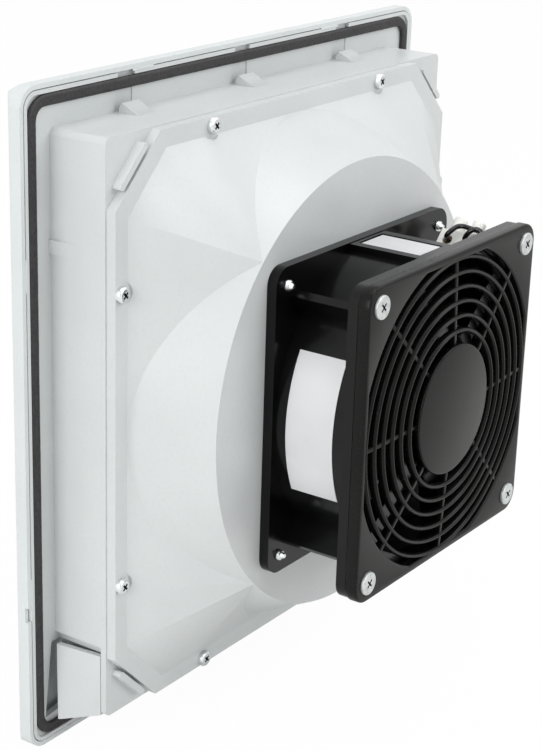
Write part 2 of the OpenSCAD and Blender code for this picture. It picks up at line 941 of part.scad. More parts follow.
// Impeller: cup-shaped hub with cambered blades
module blade() {
    out_r = tip_r + cut;
    intersection() {
        translate([0, blade_y, 0]) rotate([0, 90, 0]) linear_extrude(out_r) blade_profile();
        turned() polygon([
            [hub_r - blade_in, blade_y], [tip_r, blade_y],
            [tip_r, blade_y + blade_depth], [hub_r - blade_in, blade_y + blade_depth]
        ]);
    }
}

// A blade's section: an arc across the hub's depth, drawn in the tangent and depth directions
module blade_profile() {
    translate([0, blade_depth / 2]) rotate(blade_angle) translate([0, -blade_camber_r * cos(blade_angle / 2)])
        difference() {
            circle(blade_camber_r + blade_t / 2);
            circle(blade_camber_r - blade_t / 2);
            translate([0, -blade_camber_r]) square(4 * blade_camber_r, center = true);
        }
}

module impeller() {
    color("#232325") {
        turned() polygon([
            [shaft_r + fit_gap / 2, hub_y], [hub_r - hub_end_t, hub_y], [hub_r, hub_y + hub_end_t],
            [hub_r, hub_back], [hub_r - hub_wall, hub_back], [hub_r - hub_wall, hub_y + hub_end_t],
            [hub_boss_r, hub_y + hub_end_t], [hub_boss_r, bearing_one_y - 2 * preload_t],
            [shaft_r + fit_gap / 2, bearing_one_y - 2 * preload_t]
        ]);
        for (i = [0:blade_count - 1]) {
            rotate([0, i * 360 / blade_count, 0]) blade();
        }
    }
}

// Rotor: laminated ring and squirrel cage inside the hub
cage_r = (rotor_in_r + hub_r - hub_wall) / 2;

module cage_bars(r, over) {
    for (i = [0:cage_bar_count - 1]) {
        rotate([0, i * 360 / cage_bar_count, 0])
            rod(cage_r, 0, rotor_y - over, rotor_y + rotor_len + over, r);
    }
}

module rotor_core() {
    color("#6b6f75") difference() {
        turned() polygon([
            [rotor_in_r, rotor_y], [hub_r - hub_wall - fit_gap, rotor_y],
            [hub_r - hub_wall - fit_gap, rotor_y + rotor_len], [rotor_in_r, rotor_y + rotor_len]
        ]);
        cage_bars(cage_bar_r + fit_gap, cut);
    }
}

module rotor_cage() {
    out_r = hub_r - hub_wall - 4 * fit_gap;
    color("#b9bcc0") {
        cage_bars(cage_bar_r, cage_end_t / 2);
        for (y = [rotor_y - cage_end_t, rotor_y + rotor_len]) {
            turned() polygon([
                [rotor_in_r + cage_end_t, y], [out_r, y],
                [out_r, y + cage_end_t], [rotor_in_r + cage_end_t, y + cage_end_t]
            ]);
        }
    }
}

module shaft() {
    groove_y = bearing_two_y + bearing_w + fit_gap;
    color("#aeb2b6") turned() polygon([
        [0, hub_y], [shaft_r, hub_y], [shaft_r, groove_y], [shaft_r - clip_t / 2, groove_y],
        [shaft_r - clip_t / 2, groove_y + clip_t + fit_gap], [shaft_r, groove_y + clip_t + fit_gap],
        [shaft_r, shaft_end_y], [0, shaft_end_y]
    ]);
}

// Ball bearings: two of each ring, and the balls between them
ball_path_r = (bearing_r + shaft_r) / 2;
BEARING_PLACES = [bearing_one_y, bearing_two_y];

module race(in_r, out_r, y) {
    difference() {
        turned() polygon([[in_r, y], [out_r, y], [out_r, y + bearing_w], [in_r, y + bearing_w]]);
        translate([0, y + bearing_w / 2, 0]) rotate([-90, 0, 0]) rotate_extrude()
            translate([ball_path_r, 0]) circle(ball_r + fit_gap, $fn = 32);
    }
}

module bearing_outer_rings() {
    color("#b5b8bb") for (y = BEARING_PLACES) {
        race(bearing_r - race_t, bearing_r, y);
    }
}

module bearing_inner_rings() {
    color("#b5b8bb") for (y = BEARING_PLACES) {
        race(shaft_r + fit_gap / 2, shaft_r + race_t, y);
    }
}

module bearing_balls() {
    color("#d8dadc") for (y = BEARING_PLACES, i = [0:ball_count - 1]) {
        rotate([0, i * 360 / ball_count, 0]) translate([ball_path_r, y + bearing_w / 2, 0])
            sphere(ball_r, $fn = 32);
    }
}

// A flat ring round the Y axis
module washer(in_r, out_r, y, t) {
    turned() polygon([[in_r, y], [out_r, y], [out_r, y + t], [in_r, y + t]]);
}

module preload_washer() {
    y = bearing_one_y + bearing_w;
    color("#9aa0a6") washer(tube_shoulder_r + fit_gap, bearing_r, y, preload_t - fit_gap);
}

module shim_washer() {
    color("#c2a15a") washer(shaft_r + fit_gap, shim_r, bearing_one_y - preload_t, preload_t);
}

module retaining_clip() {
    y = bearing_two_y + bearing_w + fit_gap;
    color("#9aa0a6") washer(shaft_r - clip_t / 2 + fit_gap, clip_r, y, clip_t);
}

module bearing_cap() {
    color("#222224") rod(0, 0, strut_front - cap_t, strut_front, cap_r);
}

// Stator core: yoke ring with four poles
module pole_outline() {
    intersection() {
        union() {
            translate([yoke_r - coil_gap, -neck_w / 2]) square([stator_r - yoke_r, neck_w]);
            difference() {
                circle(stator_r);
                circle(shoe_r);
            }
        }
        polygon([
            [0, 0], [stator_r * 2, -stator_r * 2 * tan(shoe_angle)],
            [stator_r * 2, stator_r * 2 * tan(shoe_angle)]
        ]);
    }
    translate([yoke_r - coil_gap, -neck_w / 2]) square([shoe_r - yoke_r + 2 * coil_gap, neck_w]);
}

module shading_ring(grow) {
    in_r = stator_r - shade_depth - 2 * coil_gap - grow;
    len_y = stator_len + 2 * shade_t + 2 * coil_gap;
    rotate([0, -shade_angle, 0]) difference() {
        translate([in_r, stator_y - shade_t - coil_gap, -shade_w / 2 - grow])
            cube([shade_depth + 2 * grow, len_y, shade_w + 2 * grow]);
        translate([0, stator_y - coil_gap, shade_t + grow - shade_w / 2])
            cube([2 * stator_r, stator_len + 2 * coil_gap, shade_w - 2 * shade_t - 2 * grow]);
    }
}

module stator_core() {
    color("#70757c") difference() {
        union() {
            sheet(stator_y, stator_y + stator_len) difference() {
                circle(yoke_r);
                circle(tube_r + fit_gap);
            }
            sheet(stator_y, stator_y + stator_len) for (i = [0:3]) {
                rotate(i * 90) pole_outline();
            }
        }
        for (i = [0:3]) {
            rotate([0, i * 90, 0]) shading_ring(2 * fit_gap);
        }
    }
}

module coil() {
    out_w = neck_w + 2 * coil_gap + 2 * coil_t;
    len_y = stator_len + 2 * coil_gap;
    difference() {
        translate([coil_in_r, stator_y - coil_gap - coil_t, -out_w / 2])
            cube([coil_out_r - coil_in_r, len_y + 2 * coil_t, out_w]);
        translate([0, stator_y - coil_gap, -neck_w / 2 - coil_gap])
            cube([stator_r, len_y, neck_w + 2 * coil_gap]);
    }
}

module stator_windings() {
    color("#a5562a") for (i = [0:3]) {
        rotate([0, i * 90, 0]) coil();
    }
}

module shading_rings() {
    color("#b8703f") for (i = [0:3]) {
        rotate([0, i * 90, 0]) shading_ring(0);
    }
}

// Bare labels: one round the barrel, one on the wiring pad
module rating_label() {
    in_r = barrel_r + fit_gap;
    color("#f4f4f2") intersection() {
        washer(in_r, in_r + label_t, rating_y, rating_w);
        sheet(fan_y, fan_front) polygon([
            [0, 0], [2 * barrel_r, 2 * barrel_r * tan(rating_above)],
            [2 * barrel_r, -2 * barrel_r * tan(rating_below)]
        ]);
    }
}

module pad_label() {
    middle_y = fan_y + fan_depth / 2;
    color("#f0f0ee") translate([
        (pad_left - pad_right - pad_label_w) / 2, middle_y - pad_label_len / 2, pad_top - pad_recess
    ]) cube([pad_label_w, pad_label_len, label_t]);
}

// Terminal block on the fan's corner: across the wires, along the depth, and out from the fan's axis
POLES = [block_y - pole_pitch / 2, block_y + pole_pitch / 2];

module at_corner() {
    rotate([0, -45, 0]) children();
}

module post(a, y, from, to, r) {
    translate([a, y, from]) cylinder(h = to - from, r = r);
}

module along_wires(y, height, half, r) {
    translate([-half, y, height]) rotate([0, 90, 0]) cylinder(h = 2 * half, r = r);
}

module block_body() {
    half_y = pole_pitch / 2 + block_end_wall;
    translate([-block_len / 2, block_y - half_y, block_foot])
        cube([block_len, 2 * half_y, block_top - block_foot]);
    for (y = POLES) {
        translate([-tower_a, y - tower_r, block_top - cut])
            cube([2 * tower_a, 2 * tower_r, saddle_top - block_top + cut]);
        for (s = [-1, 1]) {
            post(s * tower_a, y, block_top - cut, tower_top, tower_r);
        }
    }
}

module terminal_block() {
    cavity_w = insert_w + 2 * cavity_gap;
    color("#efeee8") at_corner() difference() {
        block_body();
        for (y = POLES) {
            along_wires(y, entry_height, block_len, entry_r);
            translate([-insert_half - cavity_gap, y - cavity_w / 2, insert_foot - cavity_gap])
                cube([2 * (insert_half + cavity_gap), cavity_w, insert_top - insert_foot + 2 * cavity_gap]);
            for (s = [-1, 1]) {
                post(s * tower_a, y, insert_top, tower_top + cut, tower_bore_r);
            }
        }
        post(0, block_y, block_foot - cut, block_top, block_hole_r);
        post(0, block_y, head_seat, tower_top, head_bore_r);
    }
}

module terminal_inserts() {
    color("#c7a456") at_corner() difference() {
        for (y = POLES) {
            translate([-insert_half, y - insert_w / 2, insert_foot])
                cube([2 * insert_half, insert_w, insert_top - insert_foot]);
        }
        for (y = POLES) {
            along_wires(y, entry_height, block_len, insert_bore_r);
            for (s = [-1, 1]) {
                post(s * tower_a, y, entry_height, insert_top + cut, clamp_screw[0] + fit_gap);
            }
        }
    }
}

module terminal_screws() {
    head_top = clamp_head_foot + clamp_screw[2];
    color("#c4c7c9") at_corner() for (y = POLES, s = [-1, 1]) {
        difference() {
            union() {
                post(s * tower_a, y, clamp_tip, clamp_head_foot + fit_gap, clamp_screw[0]);
                post(s * tower_a, y, clamp_head_foot, head_top, clamp_screw[1]);
            }
            translate([s * tower_a - cross_w / 4, y - 2 * clamp_screw[1], head_top - cross_w])
                cube([cross_w / 2, 4 * clamp_screw[1], cross_w + cut]);
        }
    }
}

module block_screw() {
    head_top = head_seat + block_screw_size[2];
    color("#c4c7c9") at_corner() difference() {
        union() {
            post(0, block_y, boss_screw_tip, head_seat + fit_gap, block_screw_size[0]);
            post(0, block_y, head_seat, head_top, block_screw_size[1]);
        }
        for (a = [0, 90]) {
            translate([0, block_y, head_top]) rotate([0, 0, a + 45])
                cube([block_screw_size[1] * cross_share, cross_w, cross_w], center = true);
        }
    }
}

// A swept tube: points along each stretch, directions between neighbours, rings of points
function run_length(points, i = 0) =
    i >= len(points) - 1 ? 0 : norm(points[i + 1] - points[i]) + run_length(points, i + 1);
function smooth_point(points, i, t) = let (
    last = len(points) - 1,
    a = points[max(i - 1, 0)], b = points[i], c = points[min(i + 1, last)], d = points[min(i + 2, last)]
) ((2 * b) + (c - a) * t + (2 * a - 5 * b + 4 * c - d) * t * t + (3 * b - a - 3 * c + d) * t * t * t) / 2;
function route(points) = [
    for (i = [0:len(points) - 2])
        let (n = max(1, ceil(norm(points[i + 1] - points[i]) / lead_step)))
            for (k = [0:n - 1]) smooth_point(points, i, k / n),
    points[len(points) - 1]
];
function unit(v) = v / norm(v);
function direction(p, i) = unit(p[min(i + 1, len(p) - 1)] - p[max(i - 1, 0)]);
function next_side(side, along) = unit(side - along * (side * along));
function sides(p, i = 0, side = [1, 0, 0]) = i >= len(p) ? [] :
    let (s = next_side(side, direction(p, i))) concat([s], sides(p, i + 1, s));

module tube(points, r, n) {
    p = route(points);
    s = sides(p);
    rings = [
        for (i = [0:len(p) - 1])
            let (along = direction(p, i), up = cross(along, s[i]))
                for (k = [0:n - 1]) p[i] + r * (s[i] * cos(k * 360 / n) + up * sin(k * 360 / n))
    ];
    last = len(p) - 1;
    walls = [
        for (i = [0:last - 1], k = [0:n - 1])
            let (a = i * n + k, b = i * n + (k + 1) % n)
                each [[a, a + n, b], [b, a + n, b + n]]
    ];
    caps = [[for (k = [0:n - 1]) k], [for (k = [0:n - 1]) last * n + n - 1 - k]];
    polyhedron(rings, concat(walls, caps));
}

module lead_one() {
    color("#161617") at_corner() tube(LEAD_ONE, lead_r, lead_sides);
}

module lead_two() {
    color("#161617") at_corner() tube(LEAD_TWO, lead_r, lead_sides);
}

front_cover();
filter_mat();
base_frame();
sealing_gasket();
corner_latch_right();
corner_latch_left();
fan_cover();
cover_screws();
fan_frame();
fan_mount_screws();
finger_guard();
guard_screws();
impeller();
rotor_core();
rotor_cage();
shaft();
bearing_outer_rings();
bearing_inner_rings();
bearing_balls();
preload_washer();
shim_washer();
retaining_clip();
bearing_cap();
stator_core();
stator_windings();
shading_rings();
rating_label();
pad_label();
terminal_block();
terminal_inserts();
terminal_screws();
block_screw();
lead_one();
lead_two();
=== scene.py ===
import json
import math

import bpy
from mathutils import Matrix, Vector


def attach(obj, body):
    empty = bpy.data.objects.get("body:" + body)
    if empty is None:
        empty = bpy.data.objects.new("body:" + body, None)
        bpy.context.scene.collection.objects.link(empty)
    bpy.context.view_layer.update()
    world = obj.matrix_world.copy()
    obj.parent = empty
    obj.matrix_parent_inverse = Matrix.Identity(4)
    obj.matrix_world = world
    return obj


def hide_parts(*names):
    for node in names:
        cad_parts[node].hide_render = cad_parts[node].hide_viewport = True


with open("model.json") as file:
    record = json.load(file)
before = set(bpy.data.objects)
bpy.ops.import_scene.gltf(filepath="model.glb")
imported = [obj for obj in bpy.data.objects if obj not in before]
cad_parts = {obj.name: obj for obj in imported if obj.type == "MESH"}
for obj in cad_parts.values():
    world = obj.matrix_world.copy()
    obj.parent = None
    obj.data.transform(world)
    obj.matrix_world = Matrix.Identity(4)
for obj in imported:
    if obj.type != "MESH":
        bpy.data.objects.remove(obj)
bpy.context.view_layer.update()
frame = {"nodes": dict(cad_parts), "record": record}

nodes = frame["nodes"]
mm = 0.001
print("frame loaded:", len(nodes), "parts")

# camera, fitted to the photograph's edges

viewpoint = {
    "place": (0.58057, 0.41728, 0.24791),
    "turn": (69.6358, -1.6107, 125.2051),  # degrees about X, Y and Z
    "lens": 90.308,
    "shift": (0.00718, 0.02415),
    "farthest": 50,
}

bpy.ops.object.camera_add(
    location=viewpoint["place"], rotation=[math.radians(a) for a in viewpoint["turn"]]
)
camera = bpy.context.object
camera.name = "camera"
camera.data.lens = viewpoint["lens"]
camera.data.shift_x, camera.data.shift_y = viewpoint["shift"]
camera.data.clip_end = viewpoint["farthest"]
bpy.context.scene.camera = camera


# finishes

def linear(code):
    # a colour code as the linear colour that a socket takes
    parts = [int(code[i : i + 2], 16) / 255 for i in (1, 3, 5)]
    return tuple(c / 12.92 if c <= 0.04045 else ((c + 0.055) / 1.055) ** 2.4 for c in parts) + (1,)


def addNode(tree, kind, **values):
    node = tree.nodes.new(kind)
    for key, value in values.items():
        if hasattr(node, key):
            setattr(node, key, value)
        else:
            node.inputs[key.replace("_", " ")].default_value = value
    return node


rampStops = (0.35, 0.65)  # where the drift pattern leaves one tone and reaches the other
speckRange = (0.5, 0.75)  # the pattern values between which a speck fades in
roughScale = 90
mixSockets = {"share": 0, "under": 6, "over": 7, "result": 2}  # of the Mix node set to colour
patternNodes = {
    "noise": ("ShaderNodeTexNoise", "Fac"),
    "cells": ("ShaderNodeTexVoronoi", "Distance"),
    "wave": ("ShaderNodeTexWave", "Fac"),
}


def makeFinish(name, look):
    material = bpy.data.materials.new(name)
    material.use_nodes = True
    tree = material.node_tree
    shader = tree.nodes["Principled BSDF"]
    link = tree.links.new
    for socket, value in look.get("shader", {}).items():
        shader.inputs[socket].default_value = value
    place = addNode(tree, "ShaderNodeTexCoord").outputs["Object"]

    def pattern(kind, scale, stretch=(1, 1, 1)):
        texture, output = patternNodes[kind]
        mapping = addNode(tree, "ShaderNodeMapping", Scale=stretch)
        link(place, mapping.inputs["Vector"])
        node = addNode(tree, texture, Scale=scale)
        link(mapping.outputs["Vector"], node.inputs["Vector"])
        return node.outputs[output]

    # colour drifts between two close tones, with finer specks over it
    low, high = (linear(c) for c in look["tones"])
    ramp = addNode(tree, "ShaderNodeValToRGB")
    for element, tone, position in zip(ramp.color_ramp.elements, (low, high), rampStops):
        element.color, element.position = tone, position
    link(pattern(*look["drift"]), ramp.inputs["Fac"])
    colour = ramp.outputs["Color"]
    if "specks" in look:
        code, amount, spot = look["specks"]
        mix = addNode(tree, "ShaderNodeMix", data_type="RGBA")
        mix.inputs[mixSockets["over"]].default_value = linear(code)
        strength = addNode(tree, "ShaderNodeMapRange", To_Min=0.0, To_Max=amount)
        strength.inputs["From Min"].default_value, strength.inputs["From Max"].default_value = speckRange
        link(pattern(*spot), strength.inputs["Value"])
        link(strength.outputs["Result"], mix.inputs[mixSockets["share"]])
        link(colour, mix.inputs[mixSockets["under"]])
        colour = mix.outputs[mixSockets["result"]]
    link(colour, shader.inputs["Base Color"])

    # roughness varies a little
    smooth, rough = look["rough"]
    spread = addNode(tree, "ShaderNodeMapRange", To_Min=smooth, To_Max=rough)
    link(pattern("noise", roughScale), spread.inputs["Value"])
    link(spread.outputs["Result"], shader.inputs["Roughness"])

    # relief: each layer is a pattern and its height in millimetres
    normal = None
    for height, spot in look["relief"]:
        bump = addNode(tree, "ShaderNodeBump", Strength=1.0, Distance=height * mm)
        link(pattern(*spot), bump.inputs["Height"])
        if normal:
            link(normal, bump.inputs["Normal"])
        normal = bump.outputs["Normal"]
    link(normal, shader.inputs["Normal"])
    return material


looks = {
    "coverPlastic": {
        "tones": ("#ccd1d1", "#d0d5d5"), "drift": ("noise", 30), "rough": (0.34, 0.42),
        "specks": ("#c4c9ca", 0.35, ("noise", 900)), "relief": ((0.02, ("noise", 1400)),),
    },
    "framePlastic": {
        "tones": ("#c8cbcb", "#ccd0d0"), "drift": ("noise", 25), "rough": (0.3, 0.4),
        "specks": ("#c0c4c4", 0.35, ("noise", 800)), "relief": ((0.015, ("noise", 1300)),),
    },
    "foamBead": {
        "tones": ("#171516", "#262425"), "drift": ("noise", 700), "rough": (0.45, 0.62),
        "specks": ("#3a3739", 0.5, ("noise", 1500)),
        "relief": ((0.1, ("cells", 900)), (0.05, ("noise", 2200))),
    },
    "filterFibre": {
        "tones": ("#e9eae8", "#f6f6f4"), "drift": ("noise", 260), "rough": (0.85, 1.0),
        "specks": ("#d9dad8", 0.6, ("noise", 1200, (1, 4, 1))),
        "relief": ((0.5, ("noise", 700, (1, 3, 1))), (0.25, ("noise", 1800, (3, 1, 1)))),
        "shader": {"Sheen Weight": 0.25},
    },
    "blackPaint": {
        "tones": ("#060607", "#0a0a0b"), "drift": ("noise", 60), "rough": (0.16, 0.24),
        "relief": ((0.008, ("noise", 900)),), "shader": {"Specular IOR Level": 0.25},
    },
    "guardPlastic": {
        "tones": ("#0c0b0b", "#11100f"), "drift": ("noise", 40), "rough": (0.22, 0.3),
        "specks": ("#1a1817", 0.5, ("noise", 1100)), "relief": ((0.012, ("noise", 1200)),),
        "shader": {"Specular IOR Level": 0.16},
    },
    "fanPlastic": {
        "tones": ("#08080a", "#0d0d0f"), "drift": ("noise", 50), "rough": (0.3, 0.42),
        "relief": ((0.01, ("noise", 1200)),), "shader": {"Specular IOR Level": 0.25},
    },
    "screwPlating": {
        "tones": ("#d4d8d9", "#e6e9ea"), "drift": ("noise", 300), "rough": (0.2, 0.34),
        "relief": ((0.004, ("noise", 900, (1, 6, 1))),), "shader": {"Metallic": 1.0},
    },
    "zincPlate": {
        "tones": ("#b9bdbd", "#cdd1d0"), "drift": ("noise", 500), "rough": (0.38, 0.5),
        "relief": ((0.004, ("noise", 900, (1, 6, 1))),), "shader": {"Metallic": 0.75},
    },
    # painted shade for the cross recess in the screw heads, a darker metal than the plating
    "paintedRecessShade": {
        "tones": ("#23262a", "#3a3e43"), "drift": ("noise", 300), "rough": (0.35, 0.5),
        "relief": ((0.004, ("noise", 900)),), "shader": {"Metallic": 1.0},
    },
    "laminations": {
        "tones": ("#5d6066", "#7b7f86"), "drift": ("wave", 320), "rough": (0.35, 0.5),
        "relief": ((0.03, ("noise", 60, (1, 60, 1))),), "shader": {"Metallic": 1.0},
    },
    "castAluminium": {
        "tones": ("#b4b7ba", "#c6c9cb"), "drift": ("noise", 200), "rough": (0.35, 0.5),
        "relief": ((0.02, ("noise", 500)),), "shader": {"Metallic": 1.0},
    },
    "groundSteel": {
        "tones": ("#b4b7ba", "#c9cccf"), "drift": ("noise", 120, (1, 8, 1)), "rough": (0.18, 0.3),
        "relief": ((0.003, ("noise", 200, (1, 30, 1))),), "shader": {"Metallic": 1.0},
    },
    "springSteel": {
        "tones": ("#6b6f7a", "#83868e"), "drift": ("noise", 200), "rough": (0.28, 0.4),
        "relief": ((0.003, ("noise", 700)),), "shader": {"Metallic": 1.0},
    },
    "machinedBrass": {
        "tones": ("#c4a052", "#d8b768"), "drift": ("noise", 240), "rough": (0.22, 0.34),
        "relief": ((0.005, ("noise", 500, (1, 12, 1))),), "shader": {"Metallic": 1.0},
    },
    "enamelledCopper": {
        "tones": ("#7d3a1a", "#b8622f"), "drift": ("wave", 480), "rough": (0.18, 0.3),
        "relief": ((0.1, ("wave", 480)),), "shader": {"Metallic": 0.8, "Coat Weight": 0.6},
    },
    "bareCopper": {
        "tones": ("#b06a41", "#c98358"), "drift": ("noise", 300), "rough": (0.25, 0.38),
        "relief": ((0.004, ("noise", 600)),), "shader": {"Metallic": 1.0},
    },
    "labelFilm": {
        "tones": ("#cbccce", "#d3d4d5"), "drift": ("noise", 40), "rough": (0.28, 0.36),
        "relief": ((0.003, ("noise", 500)),), "shader": {"Coat Weight": 0.2},
    },
    "terminalPlastic": {
        "tones": ("#e9e8e2", "#f0efea"), "drift": ("noise", 90), "rough": (0.4, 0.5),
        "relief": ((0.01, ("noise", 1100)),), "shader": {"Subsurface Weight": 0.05},
    },
    "leadInsulation": {
        "tones": ("#060607", "#0a0a0b"), "drift": ("noise", 300), "rough": (0.16, 0.24),
        "relief": ((0.005, ("noise", 500)),),
    },
}
finishes = {name: makeFinish(name, look) for name, look in looks.items()}

finishOfNode = {
    "front_cover": "coverPlastic",
    "filter_mat": "filterFibre",
    "base_frame": "framePlastic",
    "sealing_gasket": "foamBead",
    "corner_latch_right": "framePlastic",
    "corner_latch_left": "framePlastic",
    "fan_cover": "framePlastic",
    "cover_screws": "screwPlating",
    "fan_frame": "blackPaint",
    "fan_mount_screws": "screwPlating",
    "finger_guard": "guardPlastic",
    "guard_screws": "zincPlate",
    "impeller": "fanPlastic",
    "rotor_core": "laminations",
    "rotor_cage": "castAluminium",
    "shaft": "groundSteel",
    "bearing_outer_rings": "groundSteel",
    "bearing_inner_rings": "groundSteel",
    "bearing_balls": "groundSteel",
    "preload_washer": "springSteel",
    "shim_washer": "machinedBrass",
    "retaining_clip": "springSteel",
    "bearing_cap": "fanPlastic",
    "stator_core": "laminations",
    "stator_windings": "enamelledCopper",
    "shading_rings": "bareCopper",
    "rating_label": "labelFilm",
    "pad_label": "labelFilm",
    "terminal_block": "terminalPlastic",
    "terminal_inserts": "machinedBrass",
    "terminal_screws": "screwPlating",
    "block_screw": "screwPlating",
    "lead_one": "leadInsulation",
    "lead_two": "leadInsulation",
}
bodyOfNode = {n: b for b, names in frame["record"]["behaviour"]["bodies"].items() for n in names}


def dress(piece, finish):
    piece.data.materials.clear()
    piece.data.materials.append(finishes[finish])


for node, finish in finishOfNode.items():
    dress(nodes[node], finish)
print("finishes made:", len(finishes))


# modelling helpers

def deselectAll():
    if bpy.context.object and bpy.context.object.mode != "OBJECT":
        bpy.ops.object.mode_set(mode="OBJECT")
    bpy.ops.object.select_all(action="DESELECT")


def pick(*pieces):
    deselectAll()
    for piece in pieces:
        piece.select_set(True)
    bpy.context.view_layer.objects.active = pieces[0]


def applyPlace(piece):
    pick(piece)
    bpy.ops.object.transform_apply(location=True, rotation=True, scale=True)


def modify(piece, kind, **values):
    pick(piece)
    modifier = piece.modifiers.new(kind.title(), kind)
    for key, value in values.items():
        setattr(modifier, key, value)
    bpy.ops.object.modifier_apply(modifier=modifier.name)


def bevelEdges(piece, width, segments, angle=35):
    modify(
        piece, "BEVEL", width=width, segments=segments, limit_method="ANGLE",
        angle_limit=math.radians(angle), use_clamp_overlap=True, harden_normals=False,
    )


def softShade(piece, angle):
    pick(piece)
    bpy.ops.object.shade_smooth_by_angle(angle=math.radians(angle))


def cutWith(piece, cutter, operation="DIFFERENCE"):
    modify(piece, "BOOLEAN", object=cutter, operation=operation, solver="EXACT")
    bpy.data.objects.remove(cutter)


def joinPieces(pieces, name):
    pick(*pieces)
    bpy.ops.object.join()
    pieces[0].name = name
    return pieces[0]


def copyPiece(piece, shift):
    twin = piece.copy()
    twin.data = piece.data.copy()
    bpy.context.collection.objects.link(twin)
    twin.data.transform(Matrix.Translation(shift))
    return twin


def addBox(low, high, name="box"):
    deselectAll()
    size = [h - l for l, h in zip(low, high)]
    middle = [(l + h) / 2 for l, h in zip(low, high)]
    bpy.ops.mesh.primitive_cube_add(size=1, location=middle, scale=size)
    piece = bpy.context.object
    piece.name = name
    applyPlace(piece)
    return piece


def addRod(start, end, radius, sides, tip=None):
    # a round rod, or a cone where it has a tip radius, on the Y axis
    deselectAll()
    spec = dict(location=(0, (start + end) / 2, 0), rotation=(math.radians(-90), 0, 0))
    if tip is None:
        bpy.ops.mesh.primitive_cylinder_add(vertices=sides, radius=radius, depth=end - start, **spec)
    else:
        bpy.ops.mesh.primitive_cone_add(
            vertices=sides, radius1=radius, radius2=tip, depth=end - start, **spec
        )
    piece = bpy.context.object
    applyPlace(piece)
    return piece


near = 1e-6  # two places closer than this are the same


def bevelChosen(piece, chosen, width, segments):
    # bevels the edges whose two ends pass the test
    pick(piece)
    bpy.ops.object.mode_set(mode="EDIT")
    bpy.ops.mesh.select_mode(type="EDGE")
    bpy.ops.mesh.select_all(action="DESELECT")
    bpy.ops.object.mode_set(mode="OBJECT")
    for edge in piece.data.edges:
        a, b = (piece.data.vertices[i].co for i in edge.vertices)
        edge.select = chosen(a, b)
    bpy.ops.object.mode_set(mode="EDIT")
    bpy.ops.mesh.bevel(offset=width, segments=segments, affect="EDGES")
    bpy.ops.object.mode_set(mode="OBJECT")


def bevelCorners(piece, radius, segments):
    # rounds the four edges that run along Y
    bevelChosen(piece, lambda a, b: max(abs(a.x - b.x), abs(a.z - b.z)) < near, radius, segments)


seam = {  # joints that show: open between the cover's skirt and the lip, nearly shut at the latches
    "lipHalf": 0.1224, "lipCorner": 0.0054, "lipShift": -0.0005,
    "skirtHalf": 0.1228, "skirtCorner": 0.0058, "skirtShift": 0.0004,
    "skirtEnd": 0.002, "skirtTop": 0.0012, "latchGrowth": 0.00015,
    "wallSlack": 3e-5, "endSlack": 1e-5,  # how far off a vertex may lie and still belong to its wall or end
}


def shiftWall(piece, half, corner, shift):
    # moves the wall that follows a round-cornered square outwards by shift
    for vertex in piece.data.vertices:
        x, z = vertex.co.x, vertex.co.z
        out = Vector((max(abs(x) - half + corner, 0), max(abs(z) - half + corner, 0)))
        if abs(out.length - corner) < seam["wallSlack"]:
            out = out.normalized() * shift
            vertex.co.x += math.copysign(out.x, x)
            vertex.co.z += math.copysign(out.y, z)


def openSeam(piece, node):
    if node == "base_frame":
        shiftWall(piece, seam["lipHalf"], seam["lipCorner"], seam["lipShift"])
    if node == "front_cover":
        shiftWall(piece, seam["skirtHalf"], seam["skirtCorner"], seam["skirtShift"])
        for vertex in piece.data.vertices:
            if abs(vertex.co.y - seam["skirtEnd"]) < seam["endSlack"]:
                vertex.co.y = seam["skirtTop"]
    if node.startswith("corner_latch"):
        root = max(vertex.co.y for vertex in piece.data.vertices)
        for vertex in piece.data.vertices:
            if vertex.co.y > root - seam["endSlack"]:
                vertex.co.y += seam["latchGrowth"]


rounding = {
    "merge": 2e-6, "flat": 0.6,  # vertices and faces closer than this, in metres and degrees, are joined
    "segments": 2, "angle": 28, "smooth": 40, "weight": 90,
}


def roundedCopy(node, name, width):
    # a merged copy of a CAD part with softened edges
    piece = nodes[node].copy()
    piece.data = nodes[node].data.copy()
    for key in list(piece.keys()):
        del piece[key]
    piece.parent = None
    bpy.context.collection.objects.link(piece)
    piece.name = name
    pick(piece)
    bpy.ops.object.mode_set(mode="EDIT")
    bpy.ops.mesh.select_all(action="SELECT")
    bpy.ops.mesh.remove_doubles(threshold=rounding["merge"])
    bpy.ops.mesh.dissolve_limited(angle_limit=math.radians(rounding["flat"]))
    bpy.ops.object.mode_set(mode="OBJECT")
    openSeam(piece, node)
    bevelEdges(piece, width, rounding["segments"], rounding["angle"])
    softShade(piece, rounding["smooth"])
    modify(piece, "WEIGHTED_NORMAL", keep_sharp=True, weight=rounding["weight"])
    standFor(piece, node)
    return piece


def standFor(piece, node):
    dress(piece, finishOfNode[node])
    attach(piece, bodyOfNode[node])
    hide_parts(node)


# moulded pieces with softened edges

softEdges = {  # edge width in metres
    "front_cover": 0.0005,
    "base_frame": 0.0002,
    "fan_cover": 0.0008,
    "fan_frame": 0.0004,
    "terminal_block": 0.0002,
    "corner_latch_right": 0.0003,
    "corner_latch_left": 0.0003,
}
for node, width in softEdges.items():
    roundedCopy(node, node.title().replace("_", ""), width)
print("moulded pieces softened")

# finger guard

guard = {
    "width": 0.120, "corner": 0.0075, "back": 0.095, "front": 0.100, "edge": 0.0009, "smooth": 40,
    "openingRadius": 0.061, "openingWidth": 0.114, "openingSides": 160,
    "discRadius": 0.0252, "discThickness": 0.0022, "discEdge": 0.0007, "discSides": 128, "rise": 0.0023,
    "rings": 6, "ringPitch": 0.00545, "ringWidth": 0.002, "ringDepth": 0.0036, "ringSides": (128, 14),
    "spokes": 8, "spokeWidth": 0.0018, "spokeDepth": 0.003, "spokeEdge": 0.0004,
    "spokeRoot": 1.2,  # how far a spoke runs past the round opening, in ring widths
}


def domeHeight(radius):
    share = (guard["openingRadius"] - radius) / (guard["openingRadius"] - guard["discRadius"])
    return guard["front"] + guard["rise"] * share


